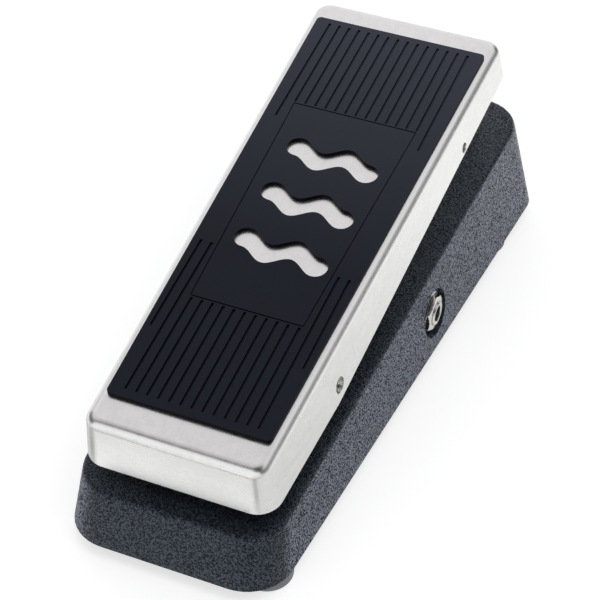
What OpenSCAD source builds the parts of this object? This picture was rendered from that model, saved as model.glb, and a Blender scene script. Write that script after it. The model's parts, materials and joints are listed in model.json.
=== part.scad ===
// Rocker effects pedal: a wedge-shaped cast housing with a tilting foot treadle on top.
// The treadle pushes a toothed rack down past a pinion on a potentiometer, and at the end of its
// travel reaches a foot switch. Units are millimetres. X is the player's right, Y points to the toe
// end, Z is up. The origin is the centre of the footprint, on the floor. The treadle is drawn heel
// down, which is the rest pose.

/* [Housing] */
// Length of the footprint from heel to toe
body_l = 252; // [248:1:256]
// Width of the footprint at the heel end
heel_w = 81; // [80:0.5:83]
// Width of the footprint at the toe end
toe_w = 103; // [101:0.5:104]
// Height of the top face above the floor at the heel end
heel_h = 25.6; // [25.4:0.1:26.4]
// Height of the top face above the floor at the toe end
toe_h = 51.4; // [51:0.1:51.8]
// Wall thickness of the casting
wall_t = 3; // [2.8:0.1:3.2]
// Corner radius of the footprint at the heel end
heel_r = 17; // [16:0.5:18]
// Corner radius of the footprint at the toe end
toe_r = 11.5; // [11:0.5:13]
// Lean of the side walls, millimetres inward per millimetre of height
draft = 0.12; // [0.11:0.01:0.13]
// Lean of the heel wall
heel_draft = 0.24; // [0.2:0.01:0.26]
// Lean of the toe wall
toe_draft = 0.14; // [0.12:0.01:0.16]
// Radius of the rounded edge between the walls and the top face
edge_r = 2; // [2:0.5:4]

/* [Treadle] */
// Length of the treadle cover
treadle_l = 222.4; // [221:0.2:223]
// Width of the treadle cover at the heel end
treadle_heel_w = 67.8; // [66:0.1:68]
// Width of the treadle cover at the toe end
treadle_toe_w = 77.8; // [76:0.1:78]
// Sheet thickness of the treadle cover
cover_t = 1.5; // [1.2:0.1:1.5]
// Depth of the cover's skirt at the heel end
skirt_heel = 20.4; // [20:0.1:21]
// Depth of the cover's skirt at its deepest point
skirt_mid = 23.3; // [22.8:0.1:23.6]
// Depth of the cover's skirt at the toe end
skirt_toe = 14.5; // [14:0.1:15]
// Tilt of the treadle at rest, heel down
rest_tilt = 9.8; // [9.7:0.1:9.9]
// Travel of the treadle from heel down to toe down, in degrees
treadle_travel = 13.5; // [13:0.1:13.5]

/* [Tread mat] */
// Thickness of the rubber mat
mat_t = 1.5; // [1.4:0.1:2]
// Spacing of the grip grooves
groove_pitch = 4.11; // [4:0.01:4.15]
// Width of a grip groove
groove_w = 1; // [0.6:0.1:1]
// Depth of a grip groove
groove_d = 0.8; // [0.5:0.1:1]
// Number of bars in the cut-out motif
motif_bars = 3; // [2:1:3]

/* [Rack and pinion] */
// Gear module, millimetres of pitch diameter per tooth
gear_module = 0.8; // [0.8:0.1:0.8]
// Number of teeth on the pinion
pinion_teeth = 14; // [14:1:14]
// Distance from the treadle pivot to the drive pin
drive_arm = 50.5; // [50:0.1:51]

/* [Connectors] */
// Bore radius of the quarter-inch jack sockets
jack_bore_r = 3.2; // [3.18:0.01:3.25]
// Bore radius of the power socket
power_bore_r = 2.8; // [2.75:0.05:2.85]

/* [Hidden] */
$fn = 64;

// Corner radii of the top face
heel_top_r = 16;
toe_top_r = 16.5;

// Plane of the top face
foot_h = 5.5;
top_slope = (toe_h - heel_h) / body_l;
top_tilt = atan(top_slope);
function top_z(y) = heel_h + (toe_h - heel_h) * (y / body_l + 0.5);
function half_w(y) = heel_w / 2 + (toe_w - heel_w) / 2 * (y / body_l + 0.5);
function wall_x(y, z) = half_w(y) - draft * (z - foot_h);

// Base plate, feet and their screws
plate_t = 1.6;
plate_top = foot_h + plate_t;
rim_t = 1.5;
foot_r = 9.4;
heel_foot = [31.4, -109.5];
toe_foot = [39.4, 90.5];
FEET = [heel_foot, [-heel_foot[0], heel_foot[1]], toe_foot, [-toe_foot[0], toe_foot[1]]];
foot_boss_r = 4.5;
screw_r = 1.5;

// Treadle pivot
pivot_y = -2.4;
pivot_z = 49.5;
shaft_r = 3;
running_gap = 0.05;
ear_x0 = 16;
ear_x1 = 22;
lug_x0 = 22.8;
lug_x1 = 28.8;
ear_r = 6.5;
bush_r = 4.5;

// Frame of the treadle: its top plane, with its own y along the plane
treadle_y = -0.9;
treadle_z = 73.5;
heel_end = -117;
toe_end = heel_end + treadle_l;
skirt_bend = -64.4;
plan_r = 6.2;
skirt_r = 9.5;
top_fillet = 4;
flare = 0.111;
function tread_half_w(y) =
  treadle_heel_w / 2 + (treadle_toe_w - treadle_heel_w) / 2 * (y - heel_end) / treadle_l;
function to_treadle(p, down) =
  let (
    dy = p[0] - pivot_y,
    dz = p[1] - pivot_z,
    ry = pivot_y + dy * cos(down) - dz * sin(down) - treadle_y,
    rz = pivot_z + dy * sin(down) + dz * cos(down) - treadle_z
  )
  [ry * cos(rest_tilt) + rz * sin(rest_tilt), -ry * sin(rest_tilt) + rz * cos(rest_tilt)];
pivot_local = to_treadle([pivot_y, pivot_z], 0);

// Cast frame under the cover
frame_gap = 0.1;
frame_top = -cover_t - frame_gap;
frame_t = 2.5;
frame_under = frame_top - frame_t;
rib_heel_y = -95;
rib_heel_z = -19.8;
rib_toe_y = 98;
rib_toe_z = -10;
rib_t = 6;
screw_y = -61.2;
screw_depth = 17.1;
screw_hole_r = 3.1;
dowel_y = 58.7;
dowel_depth = 14.4;
dowel_hole_r = 2.05;

// Tread mat, in treadle coordinates
mat_y0 = -103.8;
mat_y1 = 93.7;
mat_heel_w = 61.2;
mat_toe_w = 70;
mat_r = 1.8;
mat_shift = 0.25;
mat_lift = 0.02;
panel_y0 = -55;
panel_y1 = 45.4;
panel_heel_x = 21.5;
panel_toe_x = 24.7;
line_w = 0.5;
line_d = 0.4;
groove_y0 = -100.3;
groove_y1 = 91.2;
strip_y0 = -30;
strip_y1 = 37;
function mat_half_w(y) = mat_heel_w / 2 + (mat_toe_w - mat_heel_w) / 2 * (y - mat_y0) / (mat_y1 - mat_y0);

// Rack and pinion. The drive pin rises above the pivot's height by drive_arm * sin(angle).
pin_r = 1.5;
pin_rest = [pivot_y + drive_arm * cos(treadle_travel), pivot_z + drive_arm * sin(treadle_travel)];
pin_low = [pivot_y + drive_arm, pivot_z];
pin_local = to_treadle(pin_rest, 0);
pitch = PI * gear_module;
pitch_r = gear_module * pinion_teeth / 2;
pressure_angle = 25;
tooth_up = 0.8 * gear_module;
tooth_down = gear_module;
backlash = 0.06;
base_r = pitch_r * cos(pressure_angle);
root_r = pitch_r - tooth_down;
tip_r = pitch_r + tooth_up;
pinion_z = 27;
rack_back = 45;
rack_root = 50.2;
rack_pitch_y = rack_root + tooth_down;
pinion_y = rack_pitch_y + pitch_r;
rack_x = 2.5;
rack_bottom = 20.5;
rack_teeth_top = 43;
head_y0 = 43.3;
head_y1 = 51.5;
head_z0 = 57;
head_z1 = pin_rest[1] + 3.8;
pinion_x = 2.8;

// Potentiometer and its bracket
bracket_x0 = 6;
bracket_x1 = 7.5;
pot_face = 9;
pot_back = 20;
pot_r = 11.5;
pot_bush_r = 4;
pot_bush_x = 3.2;
bracket_foot_z = 36;
bracket_hole_x = -9;
BRACKET_HOLES_Y = [57, 65];

// Jack sockets in the side walls
jack_y = 18;
jack_z = 21;
jack_seat = 42.3;
jack_pad_x = 39.3;
jack_pad_r = 12;
jack_recess_r = 9.75;
jack_thread_r = 4.75;
jack_nut_r = 7.7;
jack_body_x = 17;

// Power socket in the left wall
power_y = 62;
power_z = 22;
power_seat = 45;
power_pad_x = 41.5;
power_thread_r = 5.4;
power_recess_r = 7.6;

// Foot switch, on an axis square to the top face
switch_y = 92;
switch_thread_r = 5.9;
plunger_r = 3.4;
button_r = 5;
button_travel = 3;
bushing_h = 5;
button_gap = 3.3;
button_h = 2.7;
button_top = bushing_h + button_gap + button_h;
button_tip = [switch_y - button_top * sin(top_tilt), top_z(switch_y) + button_top * cos(top_tilt)];
pad_gap = 1;
pad_spot = to_treadle(button_tip, treadle_travel);
pad_bottom = pad_spot[1] + pad_gap;

// Bumpers on the top face
bumper_r = 5;
heel_bumper_x = 20;
toe_bumper_x = 24;
heel_stop_y = -90;
toe_stop_y = 102;
bumper_gap = 0.3;

// Electronics, hung under the roof with the parts facing the base plate
board_z = 20;
board_t = 1.6;
board_x = 32;
board_y = -17;
board_half_l = 20;
BOARD_HOLES = [for (x = [-28, 28], y = [-16, 16]) [x, board_y + y]];
battery_x = 13.25;
battery_y0 = -94;
battery_y1 = -45.5;
battery_z0 = 8;
battery_z1 = 25.4;

// ---------- helpers ----------

// Disc of radius r lying under z = 0 whose upper edge is rounded to radius e
module rounded_disc(r, e) {
  rotate_extrude($fn = 40)
    polygon(concat([[0, 0], [0, -e]], [for (a = [0:10:90]) [r - e + e * cos(a), -e + e * sin(a)]]));
}

// Wedge with four drafted corners, shrunk by inset, from floor_z to drop below the top face
module wedge(inset, floor_z, drop, e) {
  hull()
    for (end = [-1, 1], side = [-1, 1]) {
      r = end < 0 ? heel_r : toe_r;
      top_r = end < 0 ? heel_top_r : toe_top_r;
      y = end * (body_l / 2 - r);
      lean = (end < 0 ? heel_draft : toe_draft) * (top_z(end * body_l / 2) - foot_h);
      ty = end * (body_l / 2 - lean - top_r);
      translate([side * (half_w(y) - r), y, floor_z])
        cylinder(r = r - inset, h = 0.1, $fn = 40);
      translate([side * (wall_x(ty, top_z(ty)) - top_r), ty, top_z(ty) - drop])
        rotate([top_tilt, 0, 0])
          rounded_disc(top_r - inset, e);
    }
}

// Outline of the footprint, shrunk by inset
module footprint(inset) {
  hull()
    for (end = [-1, 1], side = [-1, 1]) {
      r = end < 0 ? heel_r : toe_r;
      y = end * (body_l / 2 - r);
      translate([side * (half_w(y) - r), y])
        circle(r = r - inset);
    }
}

module on_top(y) {
  translate([0, y, top_z(y)])
    rotate([top_tilt, 0, 0])
      children();
}

module on_treadle() {
  translate([0, treadle_y, treadle_z])
    rotate([rest_tilt, 0, 0])
      children();
}

module both_sides() {
  for (side = [0, 1])
    mirror([side, 0, 0])
      children();
}

// Cylinder along X from x0 to x1
module rod_x(x0, x1, r) {
  translate([x0, 0, 0])
    rotate([0, 90, 0])
      cylinder(r = r, h = x1 - x0);
}

module tube_x(x0, x1, r, bore) {
  difference() {
    rod_x(x0, x1, r);
    rod_x(x0 - 1, x1 + 1, bore);
  }
}

// Hexagonal nut along X
module nut_x(x0, x1, across, bore) {
  difference() {
    translate([x0, 0, 0])
      rotate([0, 90, 0])
        cylinder(d = across / cos(30), h = x1 - x0, $fn = 6);
    rod_x(x0 - 1, x1 + 1, bore);
  }
}

// Pan-head screw pointing up, its head under z = 0
module screw_up(length, head_r, head_h) {
  cylinder(r = screw_r, h = length);
  translate([0, 0, -head_h])
    difference() {
      cylinder(r = head_r, h = head_h);
      for (a = [0, 90])
        rotate([0, 0, a])
          translate([-head_r * 0.6, -0.4, -0.1])
            cube([head_r * 1.2, 0.8, head_h * 0.6 + 0.1]);
    }
}

// Round wire through a list of points
module wire(points, r) {
  for (i = [0 : len(points) - 2]) {
    run = points[i + 1] - points[i];
    translate(points[i])
      rotate([0, acos(run[2] / norm(run)), atan2(run[1], run[0])])
        cylinder(r = r, h = norm(run), $fn = 32);
    if (i > 0)
      translate(points[i])
        sphere(r = r * 1.08, $fn = 32);
  }
}

// ---------- housing and what is fixed to it ----------

// Ear that carries one end of the pivot shaft
module pivot_ear() {
  spread = ear_r + 4;
  difference() {
    translate([ear_x0, 0, 0])
      rotate([90, 0, 90])
        linear_extrude(ear_x1 - ear_x0)
          union() {
            translate([pivot_y, pivot_z])
              circle(r = ear_r);
            polygon([
              [pivot_y - spread, top_z(pivot_y - spread) - wall_t / 2],
              [pivot_y + spread, top_z(pivot_y + spread) - wall_t / 2],
              [pivot_y + ear_r, pivot_z], [pivot_y - ear_r, pivot_z]
            ]);
          }
    translate([0, pivot_y, pivot_z])
      rod_x(ear_x0 - 1, ear_x1 + 1, shaft_r);
  }
}

module roof_boss(x, y, z0, r, bore_depth) {
  difference() {
    translate([x, y, z0])
      cylinder(r = r, h = top_z(y) - wall_t / 2 - z0);
    translate([x, y, z0 - 0.1])
      cylinder(r = screw_r, h = bore_depth + 0.1);
  }
}

module housing() {
  color("#2b2e36") {
    difference() {
      wedge(0, foot_h, 0, edge_r);
      wedge(wall_t, plate_top, wall_t, 1);
      translate([0, 0, foot_h - 1])
        linear_extrude(plate_t + 1)
          footprint(rim_t);
      // Slot for the rack
      translate([-3.5, 44, 30])
        cube([7, 9, 25]);
      on_top(switch_y)
        translate([0, 0, -10])
          cylinder(r = switch_thread_r + 0.1, h = 20);
      both_sides()
        translate([0, jack_y, jack_z]) {
          rod_x(jack_seat, 60, jack_recess_r);
          rod_x(30, 60, jack_thread_r + 0.15);
        }
      translate([0, power_y, power_z])
        mirror([1, 0, 0]) {
          rod_x(power_seat, 60, power_recess_r);
          rod_x(30, 60, power_thread_r + 0.1);
        }
    }
    both_sides()
      translate([0, jack_y, jack_z])
        difference() {
          rod_x(jack_pad_x, jack_seat, jack_pad_r);
          rod_x(30, 60, jack_thread_r + 0.15);
        }
    translate([0, power_y, power_z])
      mirror([1, 0, 0])
        difference() {
          rod_x(power_pad_x, power_seat, power_recess_r + 1.5);
          rod_x(30, 60, power_thread_r + 0.1);
        }
    both_sides()
      pivot_ear();
    for (p = FEET)
      roof_boss(p[0], p[1], plate_top, foot_boss_r, 11);
    for (p = BOARD_HOLES)
      roof_boss(p[0], p[1], board_z + board_t, 3, 7);
    for (y = BRACKET_HOLES_Y)
      roof_boss(bracket_hole_x, y, bracket_foot_z + 1.5, 3, 3.7);
  }
}

module base_plate() {
  color("#23252b")
    difference() {
      translate([0, 0, foot_h])
        linear_extrude(plate_t)
          footprint(rim_t + 0.2);
      for (p = FEET)
        translate([p[0], p[1], foot_h - 1])
          cylinder(r = screw_r + 0.3, h = plate_t + 2);
    }
}

module rubber_feet() {
  color("#8b8f96")
    for (p = FEET)
      translate([p[0], p[1], 0])
        difference() {
          rotate_extrude()
            polygon(concat(
              [[0, 0]],
              [for (a = [-90:18:0]) [foot_r - 1.2 + cos(a) * 1.2, 1.2 + sin(a) * 1.2]],
              [[foot_r - 0.8, foot_h], [0, foot_h]]
            ));
          translate([0, 0, -1])
            cylinder(r = 4, h = 3.5);
          translate([0, 0, -1])
            cylinder(r = screw_r + 0.3, h = foot_h + 2);
        }
}

module foot_screws() {
  color("#9a9da3")
    for (p = FEET)
      translate([p[0], p[1], 2.5])
        screw_up(14, 2.9, 1.7);
}

module jack_body() {
  difference() {
    translate([jack_body_x, jack_y - 9.5, jack_z - 8.5])
      cube([jack_pad_x - jack_body_x, 19, 17]);
    translate([0, jack_y, jack_z])
      rod_x(jack_body_x + 2, 60, jack_bore_r + 0.3);
    // Slots for the contact springs
    translate([jack_body_x + 2, jack_y - 1.6, jack_z])
      cube([16, 3.2, 7]);
  }
}

module input_jack() {
  color("#1b1b1d")
    jack_body();
}

module output_jack() {
  color("#1b1b1d")
    mirror([1, 0, 0])
      jack_body();
}

module jack_bushings() {
  color("#d5d6d8")
    both_sides()
      translate([0, jack_y, jack_z])
        tube_x(jack_pad_x, 46, jack_thread_r, jack_bore_r);
}

module jack_washers() {
  color("#c9cacc")
    both_sides()
      translate([0, jack_y, jack_z])
        tube_x(jack_seat, jack_seat + 0.8, jack_nut_r + 0.6, jack_thread_r);
}

module jack_nuts() {
  color("#d9d9d6")
    both_sides()
      translate([0, jack_y, jack_z])
        intersection() {
          nut_x(jack_seat + 0.8, jack_seat + 3, jack_nut_r * 2 - 1.4, jack_thread_r);
          rod_x(jack_seat, jack_seat + 4, jack_nut_r);
        }
}

module jack_springs() {
  color("#c8b27a")
    both_sides()
      translate([jack_body_x + 2.5, jack_y - 1, jack_z]) {
        translate([0, 0, 3.8])
          cube([14, 2, 0.6]);
        translate([1, 0, 2.6])
          cube([2.4, 2, 1.2]);
      }
}

module power_socket() {
  color("#1b1b1d")
    translate([0, power_y, power_z])
      mirror([1, 0, 0])
        difference() {
          union() {
            rod_x(31, power_seat + 1.2, power_thread_r);
            rod_x(power_seat, power_seat + 1.2, power_recess_r - 0.6);
          }
          rod_x(36, 60, power_bore_r);
        }
}

module power_nut() {
  color("#9a9da3")
    translate([0, power_y, power_z])
      mirror([1, 0, 0])
        nut_x(power_pad_x - 2.4, power_pad_x, 14, power_thread_r);
}

module power_pin() {
  color("#d5d6d8")
    translate([0, power_y, power_z])
      mirror([1, 0, 0]) {
        rod_x(36, 44.5, 1);
        translate([44.5, 0, 0])
          sphere(r = 1);
      }
}

module footswitch_body() {
  color("#3b5f8a")
    on_top(switch_y)
      difference() {
        translate([-8.5, -8.5, -19.5])
          cube([17, 17, 14]);
        translate([0, 0, -11.5])
          cylinder(r = plunger_r + 0.2, h = 10);
      }
}

module footswitch_bushing() {
  color("#d5d6d8")
    on_top(switch_y)
      difference() {
        translate([0, 0, -5.5])
          cylinder(r = switch_thread_r, h = bushing_h + 5.5);
        translate([0, 0, -6])
          cylinder(r = plunger_r + running_gap, h = bushing_h + 7);
      }
}

module footswitch_lugs() {
  color("#c8b27a")
    on_top(switch_y)
      for (x = [-5.5, 0, 5.5], y = [-5.3, 0, 5.3])
        translate([x - 1, y - 0.3, -23.5])
          cube([2, 0.6, 4]);
}

module footswitch_nuts() {
  color("#d9d9d6")
    on_top(switch_y)
      for (z = [-5.4, 0.8])
        translate([0, 0, z])
          difference() {
            cylinder(d = 14 / cos(30), h = 2.3, $fn = 6);
            translate([0, 0, -1])
              cylinder(r = switch_thread_r, h = 5);
          }
}

module footswitch_washer() {
  color("#c9cacc")
    on_top(switch_y)
      difference() {
        cylinder(r = 8.6, h = 0.8);
        translate([0, 0, -1])
          cylinder(r = switch_thread_r, h = 3);
      }
}

module pot_bracket() {
  color("#a7aaaf")
    difference() {
      union() {
        translate([bracket_x0, 39, 14])
          cube([bracket_x1 - bracket_x0, 30, bracket_foot_z + 1.5 - 14]);
        translate([bracket_hole_x - 4, 53.5, bracket_foot_z])
          cube([bracket_x1 - bracket_hole_x + 4, 15.5, 1.5]);
      }
      translate([0, pinion_y, pinion_z])
        rod_x(0, 20, pot_bush_r + 0.05);
      for (y = BRACKET_HOLES_Y)
        translate([bracket_hole_x, y, bracket_foot_z - 1])
          cylinder(r = screw_r + 0.2, h = 4);
      for (z = [18, 33])
        translate([0, 42, z])
          rod_x(0, 20, screw_r + 0.1);
    }
}

module bracket_screws() {
  color("#9a9da3")
    for (y = BRACKET_HOLES_Y)
      translate([bracket_hole_x, y, bracket_foot_z])
        screw_up(5, 2.8, 1.8);
}

module pot_body() {
  color("#8f8b7c")
    translate([0, pinion_y, pinion_z])
      difference() {
        union() {
          rod_x(pot_face, pot_back, pot_r);
          rod_x(bracket_x1, pot_face, 5.5);
          rod_x(pot_bush_x, bracket_x1, pot_bush_r);
        }
        rod_x(0, pot_back - 2, shaft_r + running_gap);
      }
}

module pot_lugs() {
  color("#c8b27a")
    difference() {
      for (i = [-1, 0, 1])
        translate([pot_face + 1.5, pinion_y + i * 5 - 1.2, pinion_z - pot_r - 4])
          cube([0.8, 2.4, 6.4]);
      translate([0, pinion_y, pinion_z])
        rod_x(pot_face, pot_back, pot_r);
    }
}

module pot_nut() {
  color("#d9d9d6")
    translate([0, pinion_y, pinion_z])
      nut_x(bracket_x0 - 2, bracket_x0, 11, pot_bush_r);
}

// Nylon channel that holds the rack upright against the pinion
module rack_guide() {
  guide_gap = 0.08;
  color("#e8e6dc")
    difference() {
      translate([-5.5, 40, 12])
        cube([5.5 + bracket_x0, 9.4, 26]);
      translate([-rack_x - guide_gap, rack_back - guide_gap, 10])
        cube([2 * (rack_x + guide_gap), 20, 30]);
      for (z = [18, 33])
        translate([0, 42, z])
          rod_x(1.5, 20, screw_r);
    }
}

module guide_screws() {
  color("#9a9da3")
    for (z = [18, 33])
      translate([bracket_x1, 42, z])
        rotate([0, -90, 0])
          screw_up(5.5, 2.6, 1.4);
}

module circuit_board() {
  color("#3c6b3f")
    difference() {
      translate([-board_x, board_y - board_half_l, board_z])
        cube([2 * board_x, 2 * board_half_l, board_t]);
      for (p = BOARD_HOLES)
        translate([p[0], p[1], board_z - 1])
          cylinder(r = screw_r + 0.2, h = board_t + 2);
    }
}

module board_screws() {
  color("#9a9da3")
    for (p = BOARD_HOLES)
      translate([p[0], p[1], board_z])
        screw_up(8, 2.6, 1.6);
}

// Moulded coil can hung under the board
module inductor() {
  color("#b3372f")
    translate([14, board_y + 2, board_z - 10])
      difference() {
        cylinder(r = 8, h = 10);
        translate([0, 0, -1])
          cylinder(r = 1.6, h = 4);
      }
}

module film_capacitors() {
  color("#2f6f9f")
    for (p = [[-14, 10, 0], [-14, 0, 0], [-2, -12, 90]])
      translate([p[0], board_y + p[1], board_z - 7.5])
        rotate([0, 0, p[2]])
          translate([-6, -2.5, 0])
            cube([12, 5, 7.5]);
}

module can_capacitors() {
  color("#38404a")
    for (p = [[-26, 0], [-26, 8.5], [25, -9]])
      translate([p[0], board_y + p[1], board_z - 9])
        difference() {
          cylinder(r = 3.2, h = 9);
          translate([0, 0, -1])
            cylinder(r = 2.2, h = 1.3);
        }
}

module transistors() {
  color("#1f1f22")
    for (x = [-2, 3.2])
      translate([x, board_y + 11, board_z - 7])
        intersection() {
          cylinder(r = 2.4, h = 5.4);
          translate([-3, -1.2, 0])
            cube([6, 4, 6]);
        }
}

module resistors() {
  color("#c9a675")
    for (p = [[-17, -9], [-17, -14], [8, -9.5], [14, -13.5], [14, 14]])
      translate([p[0], board_y + p[1], board_z - 1.6])
        rod_x(-3.2, 3.2, 1.2);
}

module battery() {
  color("#3d3f45")
    union() {
      translate([-battery_x, battery_y0, battery_z0])
        cube([2 * battery_x, battery_y1 - battery_y0, battery_z1 - battery_z0]);
      for (x = [-6.35, 6.35])
        translate([x, battery_y1, (battery_z0 + battery_z1) / 2])
          rotate([-90, 0, 0])
            cylinder(r = 2.6, h = 2.6);
    }
}

// Spring-steel cradle on the base plate
module battery_bracket() {
  side_t = 0.8;
  grip = battery_x + 0.1;
  color("#a7aaaf")
    translate([0, battery_y0 + 14, 0])
      difference() {
        translate([-grip - side_t, 0, plate_top])
          cube([2 * (grip + side_t), 14, 14]);
        translate([-grip, -1, plate_top + side_t])
          cube([2 * grip, 16, 20]);
      }
}

module battery_clip() {
  snap_y = battery_y1 + 0.4;
  color("#18181a")
    difference() {
      translate([-12.5, snap_y, 10.3])
        cube([25, 5, 12]);
      for (x = [-6.35, 6.35])
        translate([x, snap_y - 1, (battery_z0 + battery_z1) / 2])
          rotate([-90, 0, 0])
            cylinder(r = 2.8, h = 4);
    }
}

module signal_wires() {
  wire_r = 0.65;
  board_edge = board_y + board_half_l - 3;
  color("#d8d8d2") {
    // Both jacks to the foot switch
    for (side = [-1, 1])
      wire([[side * 16.3, 22, 18], [side * 13, 31, 11], [side * 20, 72, 10.5], [side * 5.5, 88.9, 23.3]], wire_r);
    // Input jack to the board
    wire([[16.3, 14, 18], [13, 6, 14], [22, board_edge, 18.6]], wire_r);
    // Potentiometer to the board
    wire([[11, pinion_y, 9.9], [6, 40, 9.6], [2, 8, 12], [2, board_edge, 18.6]], wire_r);
  }
}

module power_wires() {
  wire_r = 0.65;
  clip_y = battery_y1 + 6;
  color("#a33a34") {
    wire([[-29.8, 62, 22], [-27, 52, 12], [-28, 34, 10], [-24, 5, 11], [-20, board_y + 16, 18.6]], wire_r);
    for (x = [-10, 8])
      wire([[x, clip_y, 13], [x, clip_y + 1.5, 11.5], [x, board_y - 16, 18.6]], wire_r);
  }
}

module pivot_shaft() {
  color("#b9bcc1")
    translate([0, pivot_y, pivot_z])
      rod_x(-34, 34, shaft_r);
}

module pivot_washers() {
  color("#c9cacc")
    both_sides()
      translate([0, pivot_y, pivot_z])
        tube_x(lug_x1 + 0.2, lug_x1 + 1, 5.6, shaft_r);
}

module pivot_nuts() {
  color("#d9d9d6")
    both_sides()
      translate([0, pivot_y, pivot_z])
        nut_x(lug_x1 + 1, lug_x1 + 4.4, 10, shaft_r);
}

module friction_washers() {
  color("#e8e6dc")
    both_sides()
      translate([0, pivot_y, pivot_z])
        tube_x(ear_x1, ear_x1 + 0.6, 5.8, shaft_r);
}

// Pair of rubber stops on the top face, reaching up to a rib of the treadle at one end of its travel
module bumpers(x, y, rib_z, down) {
  foot = to_treadle([y, top_z(y)], down);
  lean = abs(rest_tilt - down - top_tilt);
  h = rib_z - foot[1] - bumper_gap - bumper_r * tan(lean);
  both_sides()
    translate([x, 0, 0])
      on_top(y)
        rotate_extrude()
          polygon(concat([[0, 0], [bumper_r, 0]],
            [for (a = [0:15:90]) [bumper_r - 1.5 + 1.5 * cos(a), h - 1.5 + 1.5 * sin(a)]], [[0, h]]));
}

module heel_bumpers() {
  color("#222226")
    bumpers(heel_bumper_x, heel_stop_y, rib_heel_z, 0);
}

module toe_bumpers() {
  color("#222226")
    bumpers(toe_bumper_x, toe_stop_y, rib_toe_z, treadle_travel);
}

// ---------- treadle ----------

// Solid pan shrunk by inset: its sides flare and its corners grow rounder towards the hem
module pan(inset) {
  depth = 26;
  spread = flare * depth;
  hull()
    for (end = [0, 1], side = [-1, 1]) {
      y = end == 0 ? heel_end + plan_r : toe_end - plan_r;
      hem_y = end == 0 ? heel_end + skirt_r - spread : toe_end - skirt_r + spread;
      translate([side * (tread_half_w(y) - plan_r), y, -inset])
        rounded_disc(plan_r - inset, max(top_fillet - inset, 0.4));
      translate([side * (tread_half_w(hem_y) - skirt_r + spread), hem_y, -depth])
        cylinder(r = skirt_r - inset, h = 0.1, $fn = 40);
    }
}

// Side view of the skirt, extruded across the treadle
module skirt_profile() {
  rotate([90, 0, 90])
    translate([0, 0, -60])
      linear_extrude(120)
        polygon([
          [heel_end - 10, 5], [toe_end + 10, 5], [toe_end + 10, -skirt_toe], [toe_end, -skirt_toe],
          [skirt_bend, -skirt_mid], [heel_end, -skirt_heel], [heel_end - 10, -skirt_heel]
        ]);
}

module treadle_cover() {
  color("#d9d8d3")
    on_treadle()
      difference() {
        intersection() {
          pan(0);
          skirt_profile();
        }
        translate([0, 0, -0.001])
          pan(cover_t);
        translate([0, screw_y, -screw_depth])
          rod_x(-60, 60, screw_hole_r);
        translate([0, dowel_y, -dowel_depth])
          rod_x(-60, 60, dowel_hole_r);
      }
}

// Hinge lug of the cast frame, in treadle coordinates
module hinge_lug() {
  difference() {
    translate([lug_x0, 0, 0])
      rotate([90, 0, 90])
        linear_extrude(lug_x1 - lug_x0)
          union() {
            translate(pivot_local)
              circle(r = ear_r);
            polygon([
              [pivot_local[0] - ear_r, pivot_local[1]], [pivot_local[0] + ear_r, pivot_local[1]],
              [pivot_local[0] + ear_r + 5, frame_under + 0.5], [pivot_local[0] - ear_r - 5, frame_under + 0.5]
            ]);
          }
    translate([0, pivot_local[0], pivot_local[1]])
      rod_x(lug_x0 - 1, lug_x1 + 1, bush_r);
  }
}

// Ear that holds one end of the drive pin
module drive_ear() {
  ear = 3;
  difference() {
    translate([3.2, 0, 0])
      rotate([90, 0, 90])
        linear_extrude(3)
          union() {
            translate(pin_local)
              circle(r = ear);
            polygon([
              [pin_local[0] - ear, pin_local[1]], [pin_local[0] + ear, pin_local[1]],
              [pin_local[0] + ear + 4, frame_under + 0.5], [pin_local[0] - ear - 4, frame_under + 0.5]
            ]);
          }
    translate([0, pin_local[0], pin_local[1]])
      rod_x(0, 10, pin_r);
  }
}

module treadle_frame() {
  inset = cover_t + 2.1;
  color("#9fa2a6")
    on_treadle() {
      difference() {
        translate([0, 0, frame_under])
          linear_extrude(frame_t)
            hull()
              for (end = [0, 1], side = [-1, 1]) {
                y = end == 0 ? heel_end + plan_r : toe_end - plan_r;
                translate([side * (tread_half_w(y) - plan_r), y])
                  circle(r = plan_r - inset);
              }
        // Weight-saving windows between the lugs and the ribs
        for (window = [[-86, 30], [-48, 30], [54, 22]])
          translate([-22, window[0], frame_under - 1])
            cube([44, window[1], frame_t + 2]);
      }
      for (y = [rib_heel_y, rib_toe_y])
        let (z = y < 0 ? rib_heel_z : rib_toe_z)
          translate([-29, y - rib_t / 2, z])
            cube([58, rib_t, frame_under - z + 0.5]);
      both_sides() {
        hinge_lug();
        drive_ear();
        // Bosses for the cover's screws and dowels
        difference() {
          translate([26, screw_y - 5, -21])
            cube([6.8, 10, 21 + frame_under + 0.5]);
          translate([0, screw_y, -screw_depth])
            rod_x(20, 40, screw_r);
        }
        difference() {
          translate([28, dowel_y - 4.5, -17.5])
            cube([7.2, 9, 17.5 + frame_under + 0.5]);
          translate([0, dowel_y, -dowel_depth])
            rod_x(20, 40, dowel_hole_r - 0.1);
        }
      }
    }
}

module cover_screws() {
  head = 32.8;
  color("#c9cacc")
    on_treadle()
      both_sides()
        translate([0, screw_y, -screw_depth])
          difference() {
            union() {
              rod_x(27, head, screw_r);
              rod_x(head, head + 2.9, screw_hole_r - 0.15);
            }
            translate([head + 1.9, -2.2, -0.4])
              cube([2, 4.4, 0.8]);
          }
}

module cover_dowels() {
  color("#8d9095")
    on_treadle()
      both_sides()
        translate([0, dowel_y, -dowel_depth])
          rod_x(29, 36.9, dowel_hole_r - 0.1);
}

// Plan of the mat before its grooves
module mat_outline() {
  hull()
    for (end = [0, 1], side = [-1, 1]) {
      y = end == 0 ? mat_y0 + mat_r : mat_y1 - mat_r;
      translate([side * (mat_half_w(y) - mat_r), y])
        circle(r = mat_r, $fn = 40);
    }
}

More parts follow.
